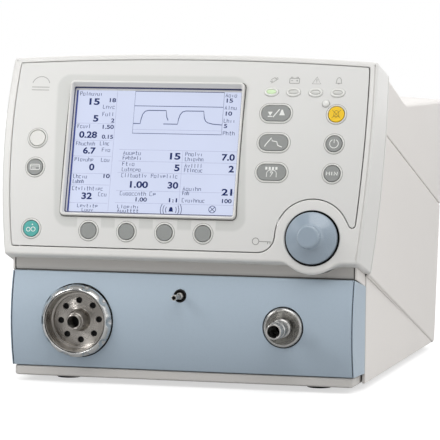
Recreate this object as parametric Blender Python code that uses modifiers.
"""Desktop infant ventilator: a tilted control head on a gas section, with a box housing behind.

Metres, +Z up. The front faces -Y. Most pieces are built on a face: an empty whose local X runs
to the viewer's right, local Y up the face, and local Z straight out of it.
"""

import math

import bmesh
import bpy
from mathutils import Vector

MM = 0.001
CLEARANCE = 0.35 * MM
GROOVE_GAP = 0.5 * MM
WALL = 3.0 * MM

# Housing, measured back from the gas panel's front and up from the shell's bottom edge.
FOOT_HEIGHT = 6.0 * MM
BODY_DEPTH = 438.0 * MM
BOX_TOP = 269.0 * MM
BOX_CROWN = 6.0 * MM
ROOF_EDGE = 4.0 * MM
SIDE_FOOT = 176.0 * MM  # half width of the side shells at their bottom edge
SIDE_DRAFT = 0.026  # how much the sides lean out for each unit of height
BASE_SIDE = 175.6 * MM
SEAM_DEPTH = 37.5 * MM
LOWER_GROOVE = (105.2 * MM, 0.270)  # height where it leaves the head, and slope down to the rear
UPPER_GROOVE = (255.6 * MM, 0.2555)

# Control head.
HEAD_TILT = math.radians(15.0)
HEAD_FOOT = Vector((0.0, -13.2 * MM, 120.4 * MM))
HEAD_HEIGHT = 199.0 * MM
HEAD_DEPTH = 51.0 * MM
HEAD_CROWN = 6.0 * MM
HEAD_BOW = 8.0 * MM  # how far the middle of the face stands forward of its top and bottom edges
HEAD_FRONT_HALF = 177.0 * MM
HEAD_REAR_HALF = 180.5 * MM
HEAD_FRONT_SWELL = 8.6 * MM
HEAD_REAR_SWELL = 6.5 * MM
SWELL_PEAK = 0.7  # share of the head's height where it is widest
BAND = 7.9 * MM
KEYPAD_FOOT = 8.3 * MM
KEYPAD_SHEET = 2.6 * MM

# Gas section.
PANEL_HALF = 172.0 * MM
PANEL_FLARE = 3.0 * MM
PANEL_BOW = 8.0 * MM  # how far the panel stands forward half way up
PANEL_FOOT = 10.2 * MM
PANEL_TOP = 103.9 * MM
NECK_HEIGHT = 10.4 * MM
VALVE_PLACE = (-103.2 * MM, 56.5 * MM)
PORT_PLACE = (0.0 * MM, 84.0 * MM)
OUTLET_PLACE = (103.2 * MM, 57.0 * MM)
VALVE_RADIUS = 35.4 * MM
OUTLET_RADIUS = 19.0 * MM
PORT_RADIUS = 6.0 * MM
SCALLOP = 1.2 * MM
DISH_RADIUS = 30.7 * MM
DISH_HOLE_CIRCLE = 19.4 * MM
NOZZLE_RADIUS = 7.5 * MM
NOZZLE_BORE = 5.75 * MM
TUBE_RADIUS = 7.5 * MM
TUBE_BORE = 6.0 * MM
TUBE_REACH = 40.5 * MM

# Controls on the head, as places across and up the face.
KEY_RADIUS = 7.9 * MM
KEY_PROUD = 1.0 * MM
KEY_DEPTH = 5.0 * MM
KEY_GAP = 0.4 * MM
KEY_ROWS = (144.8 * MM, 115.4 * MM, 86.1 * MM)
LEFT_COLUMN = -150.3 * MM
OBLONG_COLUMN = 88.1 * MM
ROUND_COLUMN = 147.6 * MM
OBLONG_SIZE = (28.6 * MM, 15.8 * MM)
SOFT_ROW = 24.9 * MM
SOFT_FIRST = -91.6 * MM
SOFT_PITCH = 38.4 * MM
LAMP_ROW = 166.6 * MM
LAMP_FIRST = 81.5 * MM
LAMP_PITCH = 21.9 * MM
LAMP_RADIUS = 4.7 * MM
LAMP_STRETCH = 1.52
BEAD_PLACE = (136.3 * MM, 155.4 * MM)
BEAD_RADIUS = 3.6 * MM
KNOB_PLACE = (131.0 * MM, 23.6 * MM)
KNOB_RADIUS = 26.0 * MM
BOSS_RADIUS = 34.0 * MM
BOSS_PROUD = 1.4 * MM
SCREEN_CENTRE = (-33.0 * MM, 106.8 * MM)
SCREEN_SIZE = (176.4 * MM, 135.2 * MM)
SCREEN_OPENING = (165.4 * MM, 124.0 * MM)
SCREEN_OUT = 9.0 * MM

# Rear face, as places across (to the right when seen from behind) and up.
FAN_PLACE = (95.0 * MM, 165.0 * MM)
FAN_SIDE = 80.0 * MM
FAN_BORE = 37.5 * MM
INLET_PLACE = (-110.0 * MM, 60.0 * MM)
SWITCH_PLACE = (-110.0 * MM, 96.0 * MM)
SWITCH_SIZE = (26.0 * MM, 12.0 * MM)
GAS_ROW = 60.0 * MM
GAS_PLACES = {"air_inlet": 60.0 * MM, "oxygen_inlet": 110.0 * MM}
FITTING_REACH = 24.0 * MM

FRONT_Y = -(BODY_DEPTH + FITTING_REACH - TUBE_REACH - PANEL_BOW) / 2
SLOPE = math.tan(HEAD_TILT)
SIDEWAYS = (math.pi / 2, 0.0, math.pi / 2)  # local X runs back, local Y up, local Z to the right

for old in list(bpy.data.objects):
    bpy.data.objects.remove(old)

PARTS = bpy.data.collections.new("mechanical_ventilator")
CUTTERS = bpy.data.collections.new("cutters")
for collection in (PARTS, CUTTERS):
    bpy.context.scene.collection.children.link(collection)


# ---------------------------------------------------------------- faces and materials


def empty(name, location, rotation=(0.0, 0.0, 0.0), parent=None):
    marker = bpy.data.objects.new(name, None)
    marker.empty_display_size = 0.02
    marker.location = location
    marker.rotation_euler = rotation
    marker.parent = parent
    PARTS.objects.link(marker)
    return marker


MACHINE = empty("machine_axes", (0.0, FRONT_Y, FOOT_HEIGHT))
PANEL_FACE = empty("panel_face", (0, 0, 0), (math.pi / 2, 0, 0), MACHINE)
HEAD_FACE = empty("head_face", HEAD_FOOT, (math.pi / 2 - HEAD_TILT, 0, 0), MACHINE)
REAR_FACE = empty("rear_face", (0, BODY_DEPTH, 0), (math.pi / 2, 0, math.pi), MACHINE)


def material(name, colour, roughness, metallic=0.0, alpha=1.0):
    made = bpy.data.materials.new(name)
    made.use_nodes = True
    shader = made.node_tree.nodes["Principled BSDF"]
    shader.inputs["Base Color"].default_value = (*colour, 1.0)
    shader.inputs["Roughness"].default_value = roughness
    shader.inputs["Metallic"].default_value = metallic
    shader.inputs["Alpha"].default_value = alpha
    return made


HOUSING = material("housing_plastic", (0.71, 0.69, 0.66), 0.45)
HEAD_PLASTIC = material("head_plastic", (0.77, 0.76, 0.73), 0.38)
KEYPAD = material("keypad_foil", (0.62, 0.62, 0.59), 0.5)
TRIM = material("trim_grey", (0.50, 0.49, 0.47), 0.5)
BLUE = material("panel_blue", (0.33, 0.42, 0.50), 0.4)
KNOB_BLUE = material("knob_blue", (0.35, 0.42, 0.49), 0.45)
KEY_GREY = material("key_grey", (0.29, 0.30, 0.29), 0.55)
KEY_PALE = material("key_pale", (0.68, 0.68, 0.65), 0.5)
KEY_YELLOW = material("key_yellow", (0.83, 0.50, 0.02), 0.5)
KEY_TEAL = material("key_teal", (0.10, 0.40, 0.36), 0.5)
LAMP_CLEAR = material("lamp_clear", (0.60, 0.60, 0.57), 0.25)
LAMP_GREEN = material("lamp_green", (0.50, 0.78, 0.40), 0.25)
SCREEN = material("screen_panel", (0.66, 0.69, 0.86), 0.3)
WINDOW = material("window_clear", (0.9, 0.92, 0.95), 0.08, 0.0, 0.25)
STEEL = material("polished_steel", (0.62, 0.60, 0.57), 0.2, 1.0)
SHEET_STEEL = material("sheet_steel", (0.55, 0.55, 0.55), 0.4, 1.0)
BRASS = material("plated_brass", (0.72, 0.70, 0.66), 0.3, 1.0)
BLACK = material("black_plastic", (0.02, 0.02, 0.02), 0.5)
RUBBER = material("foot_rubber", (0.03, 0.03, 0.03), 0.8)
BOARD = material("circuit_board", (0.03, 0.22, 0.10), 0.5)
BATTERY = material("battery_wrap", (0.05, 0.07, 0.14), 0.5)


# ---------------------------------------------------------------- outlines


def arc(centre, radius, start, end, steps):
    """Points from start to end degrees round centre."""
    turns = [math.radians(start + (end - start) * i / steps) for i in range(steps + 1)]
    return [(centre[0] + radius * math.cos(a), centre[1] + radius * math.sin(a)) for a in turns]


def rounded_rectangle(width, height, radius, steps=4, centre=(0.0, 0.0)):
    across, up = width / 2 - radius, height / 2 - radius
    points = []
    for turn, (sx, sy) in enumerate(((1, 1), (-1, 1), (-1, -1), (1, -1))):
        corner = (centre[0] + sx * across, centre[1] + sy * up)
        points += arc(corner, radius, 90 * turn, 90 * turn + 90, steps)
    return points


def head_half_width(height_share, depth_share):
    """Half width of the head at a share of its height, from its front (0) to its rear edge (1)."""
    swell = 1 - ((height_share - SWELL_PEAK) / SWELL_PEAK) ** 2
    front = HEAD_FRONT_HALF + HEAD_FRONT_SWELL * swell
    rear = HEAD_REAR_HALF + HEAD_REAR_SWELL * swell
    return front + (rear - front) * depth_share


def head_bow(up):
    """How far the head's face stands out of its own plane at this height."""
    return HEAD_BOW * (1 - (2 * up / HEAD_HEIGHT - 1) ** 2)


def head_slope(up):
    """The angle by which the bowed face leans away from its plane at this height."""
    return math.atan(4 * HEAD_BOW / HEAD_HEIGHT * (1 - 2 * up / HEAD_HEIGHT))


def keypad_outline(grow=0.0):
    """The keypad's edge: parallel to the head's sides and crown, and an S-curve round the knob."""
    foot = KEYPAD_FOOT - grow
    fillet, knob_arc, tip = 17 * MM + grow, 36.4 * MM - grow, 3.6 * MM + grow
    knob = (KNOB_PLACE[0], KNOB_PLACE[1] + 0.9 * MM)
    points = arc((knob[0] - knob_arc - fillet, foot + fillet), fillet, 270, 360, 6)
    points += arc(knob, knob_arc, 176, 28, 16)
    points += arc((169.4 * MM, 37.6 * MM), tip, 205, 350, 6)
    side_heights = [50 * MM + 23.3 * MM * i for i in range(7)]
    right = [(head_half_width(v / HEAD_HEIGHT, 0) - BAND + grow, v) for v in side_heights]
    top_half = right[-1][0]
    top = []
    for i in range(13):
        across = top_half * (1 - i / 6)
        top.append((across, 199 * MM + grow - 5.4 * MM * (across / top_half) ** 2))
    left = [(-x, v) for x, v in reversed(right)]
    lower = [(-head_half_width(v, 0) + BAND - grow, v * HEAD_HEIGHT) for v in (0.15, 0.08)]
    corner = arc((-165.6 * MM, foot + 4 * MM), 4 * MM, 180, 270, 3)
    return points + right[:-1] + top + left[1:] + lower + corner


# ---------------------------------------------------------------- solids


def add(name, mesh, parent, place, skin, turn=(0.0, 0.0, 0.0)):
    made = bpy.data.objects.new(name, mesh)
    made.parent = parent
    made.location = place
    made.rotation_euler = turn
    if skin is None:
        CUTTERS.objects.link(made)
        made.hide_render = True
        made.display_type = "WIRE"
    else:
        PARTS.objects.link(made)
        made.data.materials.append(skin)
    return made


def mesh_of(name, bm):
    bmesh.ops.recalc_face_normals(bm, faces=bm.faces)
    mesh = bpy.data.meshes.new(name)
    bm.to_mesh(mesh)
    bm.free()
    return mesh


def box(name, size, centre, parent, skin, turn=(0.0, 0.0, 0.0), edge=0.0):
    bm = bmesh.new()
    bmesh.ops.create_cube(bm, size=1.0)
    bmesh.ops.scale(bm, vec=size, verts=bm.verts)
    made = add(name, mesh_of(name, bm), parent, centre, skin, turn)
    if edge:
        soften(made, edge)
    return made


def soften(made, width, segments=2):
    bevel = made.modifiers.new("edges", "BEVEL")
    bevel.width = width
    bevel.segments = segments
    bevel.limit_method = "ANGLE"
    bevel.angle_limit = math.radians(40)


def turned(name, profile, parent, place, skin, steps=32, turn=(0.0, 0.0, 0.0)):
    """A body of revolution about local Z. The profile is (radius, height) from top to bottom."""
    bm = bmesh.new()
    corners = [bm.verts.new((r, 0.0, h)) for r, h in profile]
    for a, b in zip(corners, corners[1:]):
        bm.edges.new((a, b))
    if profile[0][0] > 0:
        bm.edges.new((corners[-1], corners[0]))
    mesh = bpy.data.meshes.new(name)
    bm.to_mesh(mesh)
    bm.free()
    made = add(name, mesh, parent, place, skin, turn)
    screw = made.modifiers.new("turn", "SCREW")
    screw.steps = screw.render_steps = steps
    screw.use_merge_vertices = True
    screw.merge_threshold = 0.00001
    return made


def drill(name, radius, depth, parent, place, turn=(0.0, 0.0, 0.0), steps=32):
    """A cutter that bores straight in from place, along local -Z."""
    profile = [(0, 0), (radius, 0), (radius, -depth), (0, -depth)]
    return turned(name, profile, parent, place, None, steps, turn)


def prism(name, outline, depth, parent, place, skin, turn=(0.0, 0.0, 0.0), edge=0.0):
    """A flat outline made solid, from local Z 0 up to depth."""
    curve = bpy.data.curves.new(name, "CURVE")
    curve.dimensions = "2D"
    curve.fill_mode = "BOTH"
    curve.extrude = depth / 2
    spline = curve.splines.new("POLY")
    spline.points.add(len(outline) - 1)
    for point, (x, y) in zip(spline.points, outline):
        point.co = (x, y, 0.0, 1.0)
    spline.use_cyclic_u = True
    drawn = bpy.data.objects.new(name + "_outline", curve)
    PARTS.objects.link(drawn)
    graph = bpy.context.evaluated_depsgraph_get()
    mesh = bpy.data.meshes.new_from_object(drawn.evaluated_get(graph))
    bpy.data.objects.remove(drawn)
    bm = bmesh.new()
    bm.from_mesh(mesh)
    bmesh.ops.remove_doubles(bm, verts=bm.verts, dist=0.000001)
    bmesh.ops.translate(bm, verts=bm.verts, vec=(0.0, 0.0, depth / 2))
    made = add(name, mesh_of(name, bm), parent, place, skin, turn)
    if edge:
        soften(made, edge)
    return made


def loft(name, sections, parent, skin, closed=False):
    """Faces between neighbouring sections of equal length. A closed loft has rings and end caps."""
    bm = bmesh.new()
    rows = [[bm.verts.new(point) for point in section] for section in sections]
    count = len(rows[0])
    for near, far in zip(rows, rows[1:]):
        for i in range(count if closed else count - 1):
            j = (i + 1) % count
            bm.faces.new((near[i], near[j], far[j], far[i]))
    if closed:
        bm.faces.new(rows[0])
        bm.faces.new(rows[-1])
    return add(name, mesh_of(name, bm), parent, (0, 0, 0), skin)


def thicken(made, thickness, offset=-1.0):
    wall = made.modifiers.new("wall", "SOLIDIFY")
    wall.thickness = thickness
    wall.offset = offset
    wall.use_even_offset = True


def combine(made, other, operation="DIFFERENCE"):
    step = made.modifiers.new(operation.lower(), "BOOLEAN")
    step.operation = operation
    step.solver = "EXACT"
    step.object = other


def cut(made, *cutters):
    for cutter in cutters:
        combine(made, cutter)


def head_block(name, skin, inset, front, back, rows=9, columns=9):
    """A block with the head's swelling sides, crown and bowed face, shrunk by inset.

    The front lies at front out of the bowed face. The rear is flat at -back, or follows the
    bow when back is None, KEYPAD_SHEET behind the front.
    """
    bm = bmesh.new()
    bmesh.ops.create_grid(bm, x_segments=columns, y_segments=rows, size=1.0)
    sheet = list(bm.faces)
    raised = bmesh.ops.extrude_face_region(bm, geom=sheet)["geom"]
    tops = {item for item in raised if isinstance(item, bmesh.types.BMVert)}
    for vert in bm.verts:
        share = (vert.co.y + 1) / 2
        is_front = vert in tops
        half = head_half_width(share, 0 if is_front or back is None else 1) - inset
        crown = HEAD_CROWN * share * (1 - vert.co.x**2)
        up = inset + share * (HEAD_HEIGHT - 2 * inset)
        out = head_bow(up) + front
        if not is_front:
            out = out - KEYPAD_SHEET if back is None else -back
        vert.co = (vert.co.x * half, up + crown, out)
    return add(name, mesh_of(name, bm), HEAD_FACE, (0, 0, 0), skin)


def head_spot(place, out=0.0):
    """Location and turn that stand a piece square on the bowed face at this place."""
    lean = head_slope(place[1])
    up = place[1] - out * math.sin(lean)
    return (place[0], up, head_bow(place[1]) + out * math.cos(lean)), (lean, 0.0, 0.0)


# ---------------------------------------------------------------- housing


def housing_side(height):
    """Half width of the upper housing at a height above the shell's bottom edge."""
    return SIDE_FOOT + SIDE_DRAFT * height


def groove_height(depth, groove, raised=0.0):
    """Height at this depth of a sloping groove, or of a line raised above it."""
    start, slope = groove
    return start + raised - slope * (depth - SEAM_DEPTH)


def head_point(up, behind):
    """The (depth, height) of a point up the head's plane and behind it."""
    sine, cosine = math.sin(HEAD_TILT), math.cos(HEAD_TILT)
    return (
        HEAD_FOOT.y + up * sine + behind * cosine,
        HEAD_FOOT.z + up * cosine - behind * sine,
    )


def seam_at_groove(groove, raised):
    """Where a line raised above a groove meets the seam behind the head band."""
    behind = HEAD_DEPTH + CLEARANCE
    depth, height = head_point(0.0, behind)
    climb = math.cos(HEAD_TILT) + groove[1] * math.sin(HEAD_TILT)
    up = (groove_height(depth, groove, raised) - height) / climb
    return head_point(up, behind)


def make_side_shells():
    rear = BODY_DEPTH - CLEARANCE
    upper = [
        seam_at_groove(LOWER_GROOVE, GROOVE_GAP),
        (rear, groove_height(rear, LOWER_GROOVE, GROOVE_GAP)),
        (rear, groove_height(rear, UPPER_GROOVE, -GROOVE_GAP)),
        seam_at_groove(UPPER_GROOVE, -GROOVE_GAP),
    ]
    rear_corner = rear - 12 * MM
    lower = [
        (SEAM_DEPTH, 0.0),
        (rear_corner, 0.0),
        (rear_corner, max(0.5 * MM, groove_height(rear_corner, LOWER_GROOVE, -GROOVE_GAP))),
        (SEAM_DEPTH, groove_height(SEAM_DEPTH, LOWER_GROOVE, -GROOVE_GAP)),
    ]
    for side, name in ((1, "right"), (-1, "left")):
        start = SIDE_FOOT - WALL if side > 0 else -SIDE_FOOT
        shell = prism(f"{name}_side_shell", upper, WALL, MACHINE, (start, 0, 0), HOUSING, SIDEWAYS)
        for vert in shell.data.vertices:
            vert.co.z += side * SIDE_DRAFT * vert.co.y
        soften(shell, 0.6 * MM, 1)
        start = BASE_SIDE - WALL if side > 0 else -BASE_SIDE
        base = prism(f"{name}_base_shell", lower, WALL, MACHINE, (start, 0, 0), HOUSING, SIDEWAYS)
        soften(base, 0.6 * MM, 1)


def make_top_cover():
    """Hood and box top in one shell: sections run from the right groove over the roof to the left."""
    rear = BODY_DEPTH
    front_top = head_point(HEAD_HEIGHT - 0.6 * MM, HEAD_DEPTH + CLEARANCE)
    bend = front_top[0] + (front_top[1] - BOX_TOP) / SLOPE
    stations = (
        (seam_at_groove(UPPER_GROOVE, GROOVE_GAP), front_top, HEAD_TILT),
        ((bend, groove_height(bend, UPPER_GROOVE, GROOVE_GAP)), (bend, BOX_TOP), 0.0),
        ((rear, groove_height(rear, UPPER_GROOVE, GROOVE_GAP)), (rear, BOX_TOP), 0.0),
    )
    sections = []
    for (foot_depth, foot), (top_depth, top), lean in stations:
        half_top = housing_side(top)
        right = [(housing_side(foot), foot_depth, foot), (half_top, top_depth, top - ROOF_EDGE)]
        for turn in (math.radians(30), math.radians(60)):
            inward, down = ROOF_EDGE * (1 - math.cos(turn)), ROOF_EDGE * (1 - math.sin(turn))
            right.append((half_top - inward, top_depth, top - down))
        roof = []
        flat = half_top - ROOF_EDGE
        for i in range(9):
            across = flat * (1 - i / 4)
            crown = BOX_CROWN * (1 - (across / flat) ** 2)
            roof.append((across, top_depth + crown * math.sin(lean), top + crown * math.cos(lean)))
        left = [(-x, y, z) for x, y, z in reversed(right)]
        sections.append(right + roof + left)
    thicken(loft("top_cover", sections, MACHINE, HOUSING), WALL)


def make_rear_panel():
    inset = WALL + 2 * CLEARANCE
    foot, top = 11 * MM, BOX_TOP - WALL - 2 * MM
    low_half = housing_side(foot) - inset
    high_half = housing_side(top) - inset - ROOF_EDGE
    outline = [(-low_half, foot), (low_half, foot), (high_half + ROOF_EDGE / 2, top - 2 * ROOF_EDGE)]
    for i in range(9):
        across = high_half * (1 - i / 4)
        outline.append((across, top + (BOX_CROWN - 0.5 * MM) * (1 - (across / high_half) ** 2)))
    outline.append((-high_half - ROOF_EDGE / 2, top - 2 * ROOF_EDGE))
    panel = prism("rear_panel", outline, 2 * MM, REAR_FACE, (0, 0, -6 * MM), SHEET_STEEL)
    cut(panel, drill("fan_opening", FAN_BORE, 16 * MM, REAR_FACE, (*FAN_PLACE, 4 * MM)))
    for name, place, size in (
        ("inlet_opening", INLET_PLACE, (28.6 * MM, 20.6 * MM)),
        ("switch_opening", SWITCH_PLACE, (SWITCH_SIZE[0] + 1 * MM, SWITCH_SIZE[1] + 2.4 * MM)),
    ):
        cut(panel, box(name, (*size, 20 * MM), (*place, 0), REAR_FACE, None))
    for name, across in GAS_PLACES.items():
        place = (across, GAS_ROW, 4 * MM)
        cut(panel, drill(f"{name}_opening", 9.4 * MM, 20 * MM, REAR_FACE, place, steps=24))


def make_base():
    length = BODY_DEPTH - 7 * MM
    centre = (0.0, (length + 1.5 * MM) / 2)
    outer = rounded_rectangle(2 * 170.6 * MM, length - 1.5 * MM, 5 * MM, 3, centre)
    inner = rounded_rectangle(2 * 168.6 * MM, length - 5.5 * MM, 3 * MM, 3, centre)
    tray = prism("base_tray", outer, 9.4 * MM, MACHINE, (0, 0, 0), TRIM)
    cut(tray, prism("tray_hollow", inner, 12 * MM, MACHINE, (0, 0, 2 * MM), None))
    profile = [
        (0, -CLEARANCE),
        (11 * MM, -CLEARANCE),
        (13 * MM, -1.5 * MM),
        (12 * MM, -FOOT_HEIGHT),
        (0, -FOOT_HEIGHT),
    ]
    for end, depth in (("front", 48 * MM), ("rear", 392 * MM)):
        for side, across in (("left", -128 * MM), ("right", 128 * MM)):
            turned(f"foot_{end}_{side}", profile, MACHINE, (across, depth, 0), RUBBER, 20)


# ---------------------------------------------------------------- gas section


def panel_bow(up):
    """How far the gas panel stands out of its own plane at this height."""
    middle = (PANEL_FOOT + PANEL_TOP) / 2
    return PANEL_BOW * (1 - ((up - middle) / (PANEL_TOP - middle)) ** 2)


def on_panel(place, out=0.0):
    return (*place, panel_bow(place[1]) + out)


def make_gas_panel():
    """The blue panel: a bowed ribbon round both front corners, whose side edges slope down."""
    corner, rear, rows = 5 * MM, SEAM_DEPTH - 0.5 * MM, 8
    half = PANEL_HALF - corner
    sections = []
    for row in range(rows + 1):
        share = row / rows
        up = PANEL_FOOT + share * (PANEL_TOP - PANEL_FOOT)
        bow = panel_bow(up)
        drop = share * SLOPE * (rear - corner)
        right = [(PANEL_HALF + PANEL_FLARE, rear, up - drop), (PANEL_HALF, corner - bow, up)]
        for turn in (math.radians(30), math.radians(60), math.radians(90)):
            right.append((half + corner * math.cos(turn), corner * (1 - math.sin(turn)) - bow, up))
        sections.append(right + [(-x, y, z) for x, y, z in reversed(right)])
    panel = loft("gas_panel", sections, MACHINE, BLUE)
    thicken(panel, WALL)
    for name, place, radius in (
        ("valve", VALVE_PLACE, VALVE_RADIUS + 1.2 * MM),
        ("port", PORT_PLACE, PORT_RADIUS + 0.3 * MM),
        ("outlet", OUTLET_PLACE, OUTLET_RADIUS + 1.2 * MM),
    ):
        cut(panel, drill(f"{name}_opening", radius, 20 * MM, PANEL_FACE, on_panel(place, 5 * MM)))


def make_neck():
    """The recessed strip under the head: a U in plan whose sides slope with the head."""
    low = PANEL_TOP + 1.8 * MM
    high = low + NECK_HEIGHT
    rear = SEAM_DEPTH - 0.6 * MM
    outer = ((171.8 * MM, 3.0 * MM), (173.6 * MM, rear))
    inner = ((168.6 * MM, 7.0 * MM), (170.4 * MM, rear))
    sections = []
    for outside, inside in ((outer[1], inner[1]), (outer[0], inner[0])):
        corners = ((outside, low), (outside, high), (inside, high), (inside, low))
        sections.append([(x, y, level - SLOPE * y) for (x, y), level in corners])
    sections += [[(-x, y, z) for x, y, z in section] for section in reversed(sections)]
    neck = loft("neck_strip", sections, MACHINE, HEAD_PLASTIC, closed=True)
    spot, turn = head_spot(KNOB_PLACE, 20 * MM)
    cut(neck, drill("boss_room", BOSS_RADIUS + 0.6 * MM, 90 * MM, HEAD_FACE, spot, turn))


def make_valve():
    """Scalloped locking ring round a steel dish, whose nozzle and floor lie either side of the panel."""
    teeth, ring_depth, rim = 10, 19 * MM, 9.5 * MM
    ring_outline = []
    for i in range(80):
        angle = 2 * math.pi * i / 80
        radius = VALVE_RADIUS - SCALLOP * (1 - math.cos(teeth * angle)) / 2
        ring_outline.append((radius * math.cos(angle), radius * math.sin(angle)))
    foot = on_panel(VALVE_PLACE, rim - ring_depth)
    ring = prism("valve_ring", ring_outline, ring_depth, PANEL_FACE, foot, STEEL)
    bore = 31.2 * MM
    bore_shape = [(0, 4 * MM), (bore + 4 * MM, 4 * MM), (bore, -0.6 * MM), (bore, -40 * MM), (0, -40 * MM)]
    cut(ring, turned("ring_bore", bore_shape, PANEL_FACE, on_panel(VALVE_PLACE, rim), None, 40))

    mouth, floor, lip, back = 13.6 * MM, -10 * MM, 8.5 * MM, -14 * MM
    dish_profile = [
        (NOZZLE_BORE, mouth),
        (NOZZLE_RADIUS - 0.5 * MM, mouth),
        (NOZZLE_RADIUS, mouth - 0.7 * MM),
        (NOZZLE_RADIUS + 0.4 * MM, floor + 5 * MM),
        (12 * MM, floor),
        (25.5 * MM, floor),
        (27.5 * MM, floor + 2 * MM),
        (29.8 * MM, lip),
        (DISH_RADIUS, lip),
        (DISH_RADIUS, back),
        (NOZZLE_BORE, back),
    ]
    dish = turned("valve_dish", dish_profile, PANEL_FACE, on_panel(VALVE_PLACE), STEEL, 40)
    for i in range(8):
        angle = math.pi * i / 4 + math.radians(3)
        across = VALVE_PLACE[0] + DISH_HOLE_CIRCLE * math.cos(angle)
        up = VALVE_PLACE[1] + DISH_HOLE_CIRCLE * math.sin(angle)
        place = (across, up, on_panel(VALVE_PLACE, floor + 4 * MM)[2])
        cut(dish, drill(f"dish_hole_{i + 1}", 2.75 * MM, 12 * MM, PANEL_FACE, place, steps=12))

    seat_bore, sleeve = VALVE_RADIUS + 0.4 * MM, VALVE_RADIUS + 0.9 * MM
    seat_profile = sleeve_profile(seat_bore, sleeve, 39.5 * MM, -2 * MM, -9.6 * MM, -13.6 * MM)
    turned("valve_seat", seat_profile, PANEL_FACE, on_panel(VALVE_PLACE), BLACK, 40)
    body_profile = [
        (0, -14.4 * MM),
        (34 * MM, -14.4 * MM),
        (34 * MM, -38 * MM),
        (26 * MM, -42 * MM),
        (26 * MM, -76 * MM),
        (0, -76 * MM),
    ]
    turned("valve_body", body_profile, PANEL_FACE, on_panel(VALVE_PLACE), SHEET_STEEL, 32)


def sleeve_profile(bore, sleeve, flange, front, shoulder, back):
    """A thin sleeve through a panel, with a flange behind it."""
    upper = [(bore, front), (sleeve, front), (sleeve, shoulder), (flange, shoulder)]
    return [*upper, (flange, back), (bore, back)]


def make_outlets():
    socket_profile = [
        (0, -8 * MM),
        (5.2 * MM, -8 * MM),
        (5.2 * MM, 0.6 * MM),
        (PORT_RADIUS, 0.4 * MM),
        (PORT_RADIUS, -6.6 * MM),
        (8.6 * MM, -6.6 * MM),
        (8.6 * MM, -10 * MM),
        (0, -10 * MM),
    ]
    turned("port_socket", socket_profile, PANEL_FACE, on_panel(PORT_PLACE), BLACK, 20)
    nipple_profile = [
        (0, 12 * MM),
        (2 * MM, 12 * MM),
        (2 * MM, 23 * MM),
        (2.75 * MM, 22.6 * MM),
        (2.75 * MM, 15 * MM),
        (2.3 * MM, 14 * MM),
        (2.3 * MM, 3 * MM),
        (3.4 * MM, 2 * MM),
        (3.4 * MM, -7.6 * MM),
        (0, -7.6 * MM),
    ]
    turned("pressure_port", nipple_profile, PANEL_FACE, on_panel(PORT_PLACE), STEEL, 16)

    throat = 8.6 * MM
    flange_profile = [
        (throat, -5 * MM),
        (OUTLET_RADIUS - 3.2 * MM, 1.8 * MM),
        (OUTLET_RADIUS - 2 * MM, 2.6 * MM),
        (OUTLET_RADIUS, 0.8 * MM),
        (OUTLET_RADIUS, -8 * MM),
        (throat, -8 * MM),
    ]
    turned("outlet_flange", flange_profile, PANEL_FACE, on_panel(OUTLET_PLACE), STEEL, 36)
    tube_profile = [
        (TUBE_BORE, TUBE_REACH),
        (TUBE_RADIUS - 0.4 * MM, TUBE_REACH),
        (TUBE_RADIUS, TUBE_REACH - 0.6 * MM),
        (TUBE_RADIUS, 27 * MM),
        (8.3 * MM, 26 * MM),
        (8.3 * MM, 14 * MM),
        (7.7 * MM, 13 * MM),
        (7.7 * MM, -4 * MM),
        (8.2 * MM, -4.6 * MM),
        (8.2 * MM, -12 * MM),
        (TUBE_BORE, -12 * MM),
    ]
    turned("outlet_tube", tube_profile, PANEL_FACE, on_panel(OUTLET_PLACE), STEEL, 28)
    bore, sleeve = OUTLET_RADIUS + 0.4 * MM, OUTLET_RADIUS + 0.9 * MM
    seal_profile = sleeve_profile(bore, sleeve, 22 * MM, 0.0, -5.4 * MM, -8 * MM)
    turned("outlet_seal", seal_profile, PANEL_FACE, on_panel(OUTLET_PLACE), BLACK, 36)


# ---------------------------------------------------------------- control head


def make_head_frame():
    frame = head_block("head_frame", HEAD_PLASTIC, 0.0, 0.0, HEAD_DEPTH)
    soften(frame, 3.0 * MM, 2)
    cut(frame, head_block("head_hollow", None, WALL + 0.2 * MM, -WALL, HEAD_DEPTH + 2 * MM))
    spot, turn = head_spot(KNOB_PLACE)
    boss_profile = [
        (0, BOSS_PROUD),
        (BOSS_RADIUS - 3 * MM, BOSS_PROUD),
        (BOSS_RADIUS, BOSS_PROUD - 3 * MM),
        (BOSS_RADIUS, -26 * MM),
        (0, -26 * MM),
    ]
    combine(frame, turned("boss", boss_profile, HEAD_FACE, spot, None, 40, turn), "UNION")
    hollow_spot, turn = head_spot(KNOB_PLACE, -7 * MM)
    cut(frame, drill("boss_hollow", BOSS_RADIUS - WALL, 33 * MM, HEAD_FACE, hollow_spot, turn))
    recess, throat = KNOB_RADIUS + 0.9 * MM, 4.4 * MM
    recess_profile = [
        (0, 9 * MM),
        (recess, 9 * MM),
        (recess, -2 * MM),
        (throat, -2 * MM),
        (throat, -12 * MM),
        (0, -12 * MM),
    ]
    cut(frame, turned("knob_recess", recess_profile, HEAD_FACE, spot, None, 40, turn))
    opening = keypad_outline(CLEARANCE)
    cut(frame, prism("keypad_opening", opening, 40 * MM, HEAD_FACE, (0, 0, -6 * MM), None))


def make_keypad():
    panel = head_block("keypad_panel", KEYPAD, 0.0, 0.2 * MM, None)
    edge = prism("keypad_edge", keypad_outline(), 60 * MM, HEAD_FACE, (0, 0, -20 * MM), None)
    combine(panel, edge, "INTERSECT")
    width, height = (side + 0.8 * MM for side in SCREEN_SIZE)
    room = rounded_rectangle(width, height, 4 * MM, 3)
    cut(panel, prism("screen_opening", room, 40 * MM, HEAD_FACE, (*SCREEN_CENTRE, -10 * MM), None))
    return panel


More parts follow.
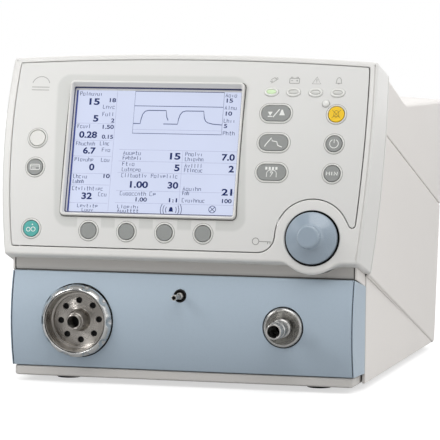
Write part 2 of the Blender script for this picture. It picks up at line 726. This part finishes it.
def make_round_key(panel, name, place, skin):
    spot, turn = head_spot(place)
    profile = [
        (0, KEY_PROUD),
        (KEY_RADIUS - 0.5 * MM, KEY_PROUD),
        (KEY_RADIUS, KEY_PROUD - 0.5 * MM),
        (KEY_RADIUS, -KEY_DEPTH),
        (0, -KEY_DEPTH),
    ]
    turned(name, profile, HEAD_FACE, spot, skin, 20, turn)
    above, turn = head_spot(place, 8 * MM)
    cut(panel, drill(f"{name}_opening", KEY_RADIUS + KEY_GAP, 16 * MM, HEAD_FACE, above, turn, 20))


def make_oblong_key(panel, name, place, skin):
    low, turn = head_spot(place, -KEY_DEPTH)
    width, height = OBLONG_SIZE
    shape = rounded_rectangle(width, height, height / 2 - 0.2 * MM, 5)
    prism(name, shape, KEY_DEPTH + KEY_PROUD, HEAD_FACE, low, skin, turn, 0.4 * MM)
    room = rounded_rectangle(width + 2 * KEY_GAP, height + 2 * KEY_GAP, height / 2, 5)
    cut(panel, prism(f"{name}_opening", room, 16 * MM, HEAD_FACE, low, None, turn))


def make_lamp(panel, name, place, skin, radius, stretch):
    """A domed lens, stretched across into an oval."""
    spot, turn = head_spot(place)
    profile = [
        (0, 1.4 * MM),
        (radius * 0.6, 1.1 * MM),
        (radius * 0.88, 0.6 * MM),
        (radius, 0),
        (radius, -4 * MM),
        (0, -4 * MM),
    ]
    turned(name, profile, HEAD_FACE, spot, skin, 18, turn).scale.x = stretch
    above, turn = head_spot(place, 8 * MM)
    room = radius + KEY_GAP
    opening = drill(f"{name}_opening", room, 16 * MM, HEAD_FACE, above, turn, 18)
    opening.scale.x = (radius * stretch + KEY_GAP) / room
    cut(panel, opening)


def make_controls(panel):
    left_rows = (KEY_ROWS[1], KEY_ROWS[2], SOFT_ROW + 0.5 * MM)
    for i, (row, skin) in enumerate(zip(left_rows, (KEY_PALE, KEY_GREY, KEY_TEAL))):
        make_round_key(panel, f"left_key_{i + 1}", (LEFT_COLUMN, row), skin)
    for i in range(4):
        make_round_key(panel, f"soft_key_{i + 1}", (SOFT_FIRST + i * SOFT_PITCH, SOFT_ROW), KEY_GREY)
    round_keys = (("silence_key", KEY_YELLOW), ("power_key", KEY_GREY), ("manual_key", KEY_GREY))
    for row, (name, skin) in zip(KEY_ROWS, round_keys):
        make_round_key(panel, name, (ROUND_COLUMN, row), skin)
    for row, name in zip(KEY_ROWS, ("limits_key", "curve_key", "mode_key")):
        make_oblong_key(panel, name, (OBLONG_COLUMN, row), KEY_GREY)
    for i, name in enumerate(("lamp_mains", "lamp_battery", "lamp_warning", "lamp_alarm")):
        skin = LAMP_GREEN if name == "lamp_mains" else LAMP_CLEAR
        make_lamp(panel, name, (LAMP_FIRST + i * LAMP_PITCH, LAMP_ROW), skin, LAMP_RADIUS, LAMP_STRETCH)
    make_lamp(panel, "lamp_silence", BEAD_PLACE, LAMP_CLEAR, BEAD_RADIUS, 1.0)


def make_screen():
    bezel_depth = SCREEN_OUT + 0.6 * MM
    outer = rounded_rectangle(*SCREEN_SIZE, 3.8 * MM, 3)
    foot = (*SCREEN_CENTRE, SCREEN_OUT - bezel_depth)
    bezel = prism("screen_bezel", outer, bezel_depth, HEAD_FACE, foot, HEAD_PLASTIC)
    soften(bezel, 1.2 * MM, 2)
    inner = rounded_rectangle(*SCREEN_OPENING, 1.5 * MM, 2)
    cut(bezel, prism("bezel_opening", inner, 30 * MM, HEAD_FACE, (*SCREEN_CENTRE, -10 * MM), None))
    size = tuple(side - 2 * MM for side in SCREEN_SIZE)
    box("display_window", (*size, 1.2 * MM), (*SCREEN_CENTRE, -1.6 * MM), HEAD_FACE, WINDOW)
    box("display_module", (*size, 9 * MM), (*SCREEN_CENTRE, -7.1 * MM), HEAD_FACE, SCREEN)


def make_knob():
    spot, turn = head_spot(KNOB_PLACE)
    bore = 3.4 * MM
    knob_profile = [
        (0, 21 * MM),
        (10.3 * MM, 21 * MM),
        (11.6 * MM, 19.7 * MM),
        (11.9 * MM, 8 * MM),
        (14 * MM, 6.2 * MM),
        (25.2 * MM, 3.6 * MM),
        (KNOB_RADIUS, 2.6 * MM),
        (KNOB_RADIUS, 0.4 * MM),
        (bore, 0.4 * MM),
        (bore, 13 * MM),
        (0, 13 * MM),
    ]
    turned("control_knob", knob_profile, HEAD_FACE, spot, KNOB_BLUE, 36, turn)
    shaft_profile = [(0, 12.6 * MM), (3 * MM, 12.6 * MM), (3 * MM, -18 * MM), (0, -18 * MM)]
    turned("encoder_shaft", shaft_profile, HEAD_FACE, spot, SHEET_STEEL, 16, turn)
    encoder_profile = [
        (0, -20.5 * MM),
        (bore, -20.5 * MM),
        (bore, -7.4 * MM),
        (8 * MM, -7.4 * MM),
        (11 * MM, -9 * MM),
        (11 * MM, -22 * MM),
        (0, -22 * MM),
    ]
    turned("encoder_body", encoder_profile, HEAD_FACE, spot, SHEET_STEEL, 20, turn)


# ---------------------------------------------------------------- inside and rear


def make_internals():
    box("keypad_board", (330 * MM, 110 * MM, 1.6 * MM), (0, 119 * MM, -14 * MM), HEAD_FACE, BOARD)
    supply_size, battery_size = (110 * MM, 170 * MM, 55 * MM), (100 * MM, 170 * MM, 66 * MM)
    box("power_supply", supply_size, (-100 * MM, 300 * MM, 31 * MM), MACHINE, SHEET_STEEL)
    box("battery_pack", battery_size, (100 * MM, 300 * MM, 36 * MM), MACHINE, BATTERY, edge=2 * MM)
    box("main_board", (290 * MM, 210 * MM, 1.6 * MM), (0, 250 * MM, 82 * MM), MACHINE, BOARD)
    block_size, block_place = (110 * MM, 90 * MM, 60 * MM), (96 * MM, 59 * MM, 40 * MM)
    box("gas_block", block_size, block_place, MACHINE, SHEET_STEEL, edge=1.5 * MM)
    sensor = [(0, 0), (14 * MM, 0), (14 * MM, -42 * MM), (0, -42 * MM)]
    turned("oxygen_sensor", sensor, MACHINE, (10 * MM, 70 * MM, 60 * MM), BLACK, 24)


def make_fan():
    front, depth = -7 * MM, 24 * MM
    frame_size = (FAN_SIDE, FAN_SIDE, depth)
    frame = box("fan_frame", frame_size, (*FAN_PLACE, front - depth / 2), REAR_FACE, BLACK)
    cut(frame, drill("fan_bore", FAN_BORE, depth + 2 * MM, REAR_FACE, (*FAN_PLACE, front + 1 * MM)))
    spoke_place = (*FAN_PLACE, front - depth + 2 * MM)
    for name, size in (("across", (FAN_SIDE - 2 * MM, 5 * MM)), ("upright", (5 * MM, FAN_SIDE - 2 * MM))):
        spoke = box(f"fan_spoke_{name}", (*size, 3 * MM), spoke_place, REAR_FACE, None)
        combine(frame, spoke, "UNION")
    hub_profile = [(0, 0), (14 * MM, 0), (14 * MM, -18 * MM), (0, -18 * MM)]
    rotor = turned("fan_rotor", hub_profile, REAR_FACE, (*FAN_PLACE, front - 1 * MM), BLACK, 24)
    reach, pitch = 23.5 * MM, math.radians(35)
    for i in range(7):
        angle = 2 * math.pi * i / 7
        across = FAN_PLACE[0] + reach * math.cos(angle)
        up = FAN_PLACE[1] + reach * math.sin(angle)
        size, place = (24 * MM, 1.6 * MM, 16 * MM), (across, up, front - 10 * MM)
        blade = box(f"fan_blade_{i + 1}", size, place, REAR_FACE, None, (pitch, 0.0, angle))
        combine(rotor, blade, "UNION")


def make_rear_fittings():
    inlet = box("mains_inlet", (48 * MM, 27 * MM, 2.6 * MM), (*INLET_PLACE, -2.2 * MM), REAR_FACE, BLACK)
    back = box("inlet_back", (27.8 * MM, 19.8 * MM, 24 * MM), (*INLET_PLACE, -13 * MM), REAR_FACE, None)
    combine(inlet, back, "UNION")
    well_size = (24.4 * MM, 16.4 * MM, 20 * MM)
    cut(inlet, box("inlet_well", well_size, (*INLET_PLACE, -6.6 * MM), REAR_FACE, None))
    for i, (across, up) in enumerate(((-7 * MM, -1.5 * MM), (7 * MM, -1.5 * MM), (0, 2.5 * MM))):
        place = (INLET_PLACE[0] + across, INLET_PLACE[1] + up, -11 * MM)
        pin = box(f"inlet_pin_{i + 1}", (2 * MM, 4 * MM, 14 * MM), place, REAR_FACE, None)
        combine(inlet, pin, "UNION")

    across, up = SWITCH_SIZE
    outline = [
        (-up / 2, -1.5 * MM),
        (1.5 * MM - up / 2, -9 * MM),
        (up / 2 - 1.5 * MM, -9 * MM),
        (up / 2, -1.5 * MM),
        (up / 2, 0.85 * MM),
        (0, -1.0 * MM),
        (-up / 2, 2.1 * MM),
    ]
    place = (SWITCH_PLACE[0] - across / 2, SWITCH_PLACE[1], -4 * MM)
    soften(prism("power_switch", outline, across, REAR_FACE, place, BLACK, SIDEWAYS), 0.5 * MM, 1)

    fitting_profile = [
        (0, 10 * MM),
        (3 * MM, 10 * MM),
        (3 * MM, FITTING_REACH),
        (6.4 * MM, FITTING_REACH),
        (7.4 * MM, FITTING_REACH - 1 * MM),
        (7.4 * MM, 4 * MM),
        (11.5 * MM, 3 * MM),
        (11.5 * MM, -3.6 * MM),
        (9 * MM, -3.6 * MM),
        (9 * MM, -26 * MM),
        (0, -26 * MM),
    ]
    for name, across in GAS_PLACES.items():
        turned(name, fitting_profile, REAR_FACE, (across, GAS_ROW, 0), BRASS, 20)


make_side_shells()
make_top_cover()
make_rear_panel()
make_base()
make_gas_panel()
make_neck()
make_valve()
make_outlets()
make_head_frame()
make_controls(make_keypad())
make_screen()
make_knob()
make_internals()
make_fan()
make_rear_fittings()
CUTTERS.hide_render = True
